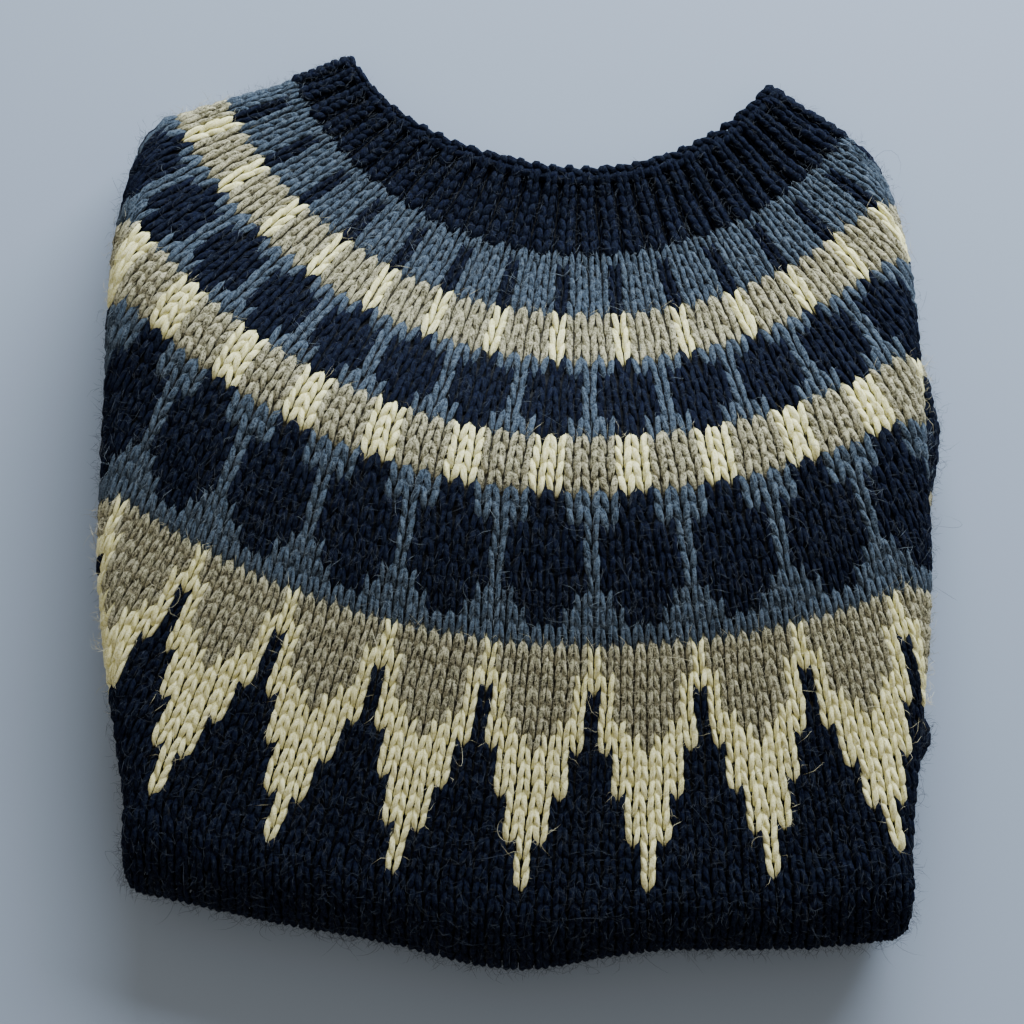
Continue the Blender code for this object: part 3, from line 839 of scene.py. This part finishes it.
rib, row = (v.ravel() for v in np.meshgrid(
    np.arange(-20.0, 18.0, 0.5), (np.arange(RIB_ROWS) + 0.80) / (RIB_ROWS + 0.20),
))
kept = to_back_middle(on_neckband, rib, row)
rib, row = rib[kept], row[kept]
knit_width = np.full_like(rib, 0.31)
row_height = np.full_like(rib, 1.0 / RIB_ROWS)
ribs = knit("neckband_ribs", on_neckband, rib, knit_width, row, row_height, 41, lift=0.0010, plump=1.35)
purls = knit("neckband_purls", on_neckband, rib + 0.25, np.full_like(rib, 0.20), row, row_height, 42,
             leg=hidden_leg, lift=-0.0010)
edge_place = np.arange(-20.0, 18.0, 0.25)
edge_place = edge_place[to_back_middle(on_neckband, edge_place, np.full_like(edge_place, 0.05))]
edge_down = np.full_like(edge_place, 0.035)
bound_off = knit("neckband_edge", along_edge, edge_down, np.full_like(edge_place, 0.17), edge_place,
                 np.full_like(edge_place, 0.25), 44, lift=0.0006, way=-1.0, plump=1.45)
rib_fuzz = halo("neckband_fuzz", on_neckband, rib, np.full_like(rib, 0.5), row, row_height * 1.4,
                9.0, FUZZ_LENGTH, 43)
neck_pieces = [ribs, purls, bound_off, rib_fuzz]
for piece in neck_pieces:
    piece.data.materials.append(FUZZ["n"] if piece is rib_fuzz else YARNS["n"][1])
    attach(piece, "root")


# --------------------------------------------------------------------------
# Yoke, back.  The same patterned cloth round the other side.  It lies face down on
# the surface, between the neckband and the hem that is folded up beneath it.
# --------------------------------------------------------------------------

HEM_EDGE_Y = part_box("hem_rib")[1][1]

yoke_back = cloth_shell("yoke_back", "yoke_back_cloth", SHELL_INSET)
yoke_back.data.materials.append(ground)
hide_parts("yoke_back")
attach(yoke_back, "root")
BACK_REPEATS = range(-22, 21)
charted_back = read_chart(CHART[:12], BACK_REPEATS)


def on_back_side(stitches):
    """Stitches on the flat back.  Where a side fold doesn't reach it, none bridges the two."""
    place, width, middle, height = np.array(stitches).T
    points, turn = on_ring(place, middle)
    corners = [(a * width, b * height) for a in (-0.6, 0.6) for b in (-1.0, 1.0)]
    least = np.min([on_ring(place + across, middle + down)[1] for across, down in corners], axis=0)
    joined_on = np.where(points[:, 1] > SLEEVE_CLEAR_Y, turn >= TURNED_UNDER, least > math.pi)
    kept = joined_on & (points[:, 1] > HEM_EDGE_Y + 0.003) & to_back_middle(on_ring, place, middle)
    return np.stack((place, width, middle, height), 1)[kept]


for seed, colour in enumerate("nbgc"):
    label, wool_yarn = YARNS[colour]
    stitches = on_back_side(charted_back[colour])
    piece = knit("yoke_back_" + label, on_ring, *stitches.T, 51 + seed, leg=hidden_leg)
    piece.data.materials.append(wool_yarn)
    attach(piece, "root")


# --------------------------------------------------------------------------
# Hem rib.  The navy body ends in a deep rib of one knit and one purl, knitted in
# the round.  It lies flattened on the surface, with its edge towards the neck.
# --------------------------------------------------------------------------

HEM_RIB_ROWS = 9
HEM_RIBS = 44

hem = cloth_shell("hem_rib", "hem_rib_cloth", SHELL_INSET)
hem.data.materials.append(ground)
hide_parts("hem_rib")
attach(hem, "root")


def on_hem(share, y):
    """Outer face of the hem beneath, from one side round to the other."""
    deep = 0.5 * LOWER_LAYER + 0.001
    round_length = half_round(deep, 0.5 * LOWER_LAYER)
    left = X_LEFT + HEM_INSET
    right = X_RIGHT - HEM_INSET
    way = mix(-round_length, right - left + round_length, share)
    past = np.where(way < 0.0, -way, np.maximum(0.0, way - (right - left)))
    turn = np.clip(math.pi * past / round_length, 0.0, math.pi)
    side = np.where(way < 0.0, -1.0, 1.0)
    x = np.clip(left + way, left, right) + side * deep * np.sin(turn)
    return np.stack((x, y, 0.5 * LOWER_LAYER * (1.0 - np.cos(turn))), -1), turn


rib_share, rib_row = (v.ravel() for v in np.meshgrid(
    (np.arange(HEM_RIBS) + 0.5) / HEM_RIBS,
    mix(HEM_SEAM_Y, HEM_EDGE_Y, (np.arange(HEM_RIB_ROWS) + 0.4) / (HEM_RIB_ROWS + 0.3)),
))
rib_height = (HEM_EDGE_Y - HEM_SEAM_Y) / HEM_RIB_ROWS
hem_ribs = knit("hem_ribs", on_hem, rib_share, np.full_like(rib_share, 0.80 / HEM_RIBS), rib_row,
                np.full_like(rib_share, rib_height), 61, leg=hidden_leg, plump=1.35)
hem_ribs.data.materials.append(YARNS["n"][1])
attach(hem_ribs, "root")


# --------------------------------------------------------------------------
# Sleeves.  Plain navy tubes from the yoke, folded flat behind the front, so that
# only their side folds show between the layers.  Each still has a few of the
# yoke's pale stitches near its shoulder.
# --------------------------------------------------------------------------

SLEEVE_BULGES = ((0.0110, 0.0202, 0.062), (0.0092, -0.0988, 0.020))
SLEEVE_WALES = 5
SLEEVE_ROW = 0.0058
SLEEVE_LOW_Y = {-1: -0.1158, 1: -0.1318}
SLEEVE_TOP_Y = 0.0602
SLEEVE_INSET = 0.0025
SLEEVE_ROLL = 0.0085


def on_sleeve(side):
    """The outer face of one sleeve's side fold: across it, and down to the cuff."""

    def place(across, down):
        y = SLEEVE_TOP_Y - down
        taper = SIDE_TAPER[side] * ease((APEX_Y - y - TAPER_FROM) / TAPER_OVER)
        edge = (X_LEFT + taper + SLEEVE_INSET) if side < 0 else (X_RIGHT - taper - SLEEVE_INSET)
        if side > 0:
            for out, middle, half_length in SLEEVE_BULGES:
                edge = edge + out * hump(y, middle, half_length)
        turn = math.pi * across
        low = LOWER_LAYER + 0.0006
        high = SLEEVE_TOP - 0.0012
        x = edge - side * SLEEVE_ROLL * (1.0 - np.sin(turn))
        return np.stack((x, y + 0.0 * x, 0.5 * (low + high) + 0.5 * (high - low) * np.cos(turn)), -1), turn

    return place


for side, label in ((-1, "left"), (1, "right")):
    node = "sleeve_" + label
    sleeve = cloth_shell(node, node + "_cloth", SHELL_INSET)
    sleeve.data.materials.append(ground)
    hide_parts(node)
    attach(sleeve, "root")
    length = SLEEVE_TOP_Y - SLEEVE_LOW_Y[side]
    wale, row = (v.ravel() for v in np.meshgrid(
        (np.arange(SLEEVE_WALES) + 0.5) / SLEEVE_WALES,
        SLEEVE_ROW * (np.arange(int(length / SLEEVE_ROW)) + 0.6),
    ))
    pale = (row < 0.018) | ((row > 0.062) & (row < 0.076)) if side > 0 else row < 0.012
    for colour, chosen in (("n", ~pale), ("g", pale)):
        count = int(chosen.sum())
        yarn_label, wool_yarn = YARNS[colour]
        courses = (wale[chosen], np.full(count, 1.0 / SLEEVE_WALES), row[chosen], np.full(count, SLEEVE_ROW))
        piece = knit(node + "_" + yarn_label, on_sleeve(side), *courses, 71 + side, way=float(side))
        fuzz = halo(node + "_fuzz_" + yarn_label, on_sleeve(side), *courses, 8.0, FUZZ_LENGTH, 75 + side,
                    way=float(side))
        for part, finish in ((piece, wool_yarn), (fuzz, FUZZ[colour])):
            part.data.materials.append(finish)
            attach(part, "root")


# --------------------------------------------------------------------------
# The hidden folded layers: the rest of both sleeves and of the back, gathered into
# one rounded bundle that holds the front up from inside.
# --------------------------------------------------------------------------

layers = cloth_shell("folded_core", "folded_layers", 0.0006)
layers.data.materials.append(ground)
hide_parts("folded_core")
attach(layers, "root")


# --------------------------------------------------------------------------
# The pale surface that it lies on, a soft window light from beyond the neck, and
# the camera above the hem.
# --------------------------------------------------------------------------

bpy.ops.mesh.primitive_plane_add(size=6.0, location=(0.0, 0.0, 0.0))
floor = bpy.context.active_object
floor.name = "floor"
paper = bpy.data.materials.new("pale surface")
paper.use_nodes = True
paper_shader = paper.node_tree.nodes["Principled BSDF"]
paper_shader.inputs["Base Color"].default_value = (0.325, 0.395, 0.535, 1)
paper_shader.inputs["Roughness"].default_value = 0.8
floor.data.materials.append(paper)

bpy.ops.object.light_add(type="AREA", location=(0.42, 1.20, 0.58))
window = bpy.context.active_object
window.name = "window light"
window.data.shape = "RECTANGLE"
window.data.size = 1.4
window.data.size_y = 1.0
window.data.energy = 62.0
window.data.color = (0.90, 0.97, 1.0)
window.rotation_euler = (math.radians(-65.5), 0.0, math.radians(-19.5))

world = bpy.data.worlds.new("soft studio light")
world.use_nodes = True
world.node_tree.nodes["Background"].inputs["Color"].default_value = (1.0, 0.94, 0.80, 1)
world.node_tree.nodes["Background"].inputs["Strength"].default_value = 0.42
bpy.context.scene.world = world

CAMERA_TARGET = (-0.0050, -0.0138, 0.0300)
CAMERA_DISTANCE = 0.850
CAMERA_ELEVATION = math.radians(76.0)

camera_data = bpy.data.cameras.new("camera")
camera_data.sensor_width = 36.0
camera_data.lens = 78.6
camera = bpy.data.objects.new("camera", camera_data)
camera.location = (
    CAMERA_TARGET[0],
    CAMERA_TARGET[1] - CAMERA_DISTANCE * math.cos(CAMERA_ELEVATION),
    CAMERA_TARGET[2] + CAMERA_DISTANCE * math.sin(CAMERA_ELEVATION),
)
camera.rotation_euler = (0.5 * math.pi - CAMERA_ELEVATION, 0.0, 0.0)
bpy.context.scene.collection.objects.link(camera)
bpy.context.scene.camera = camera
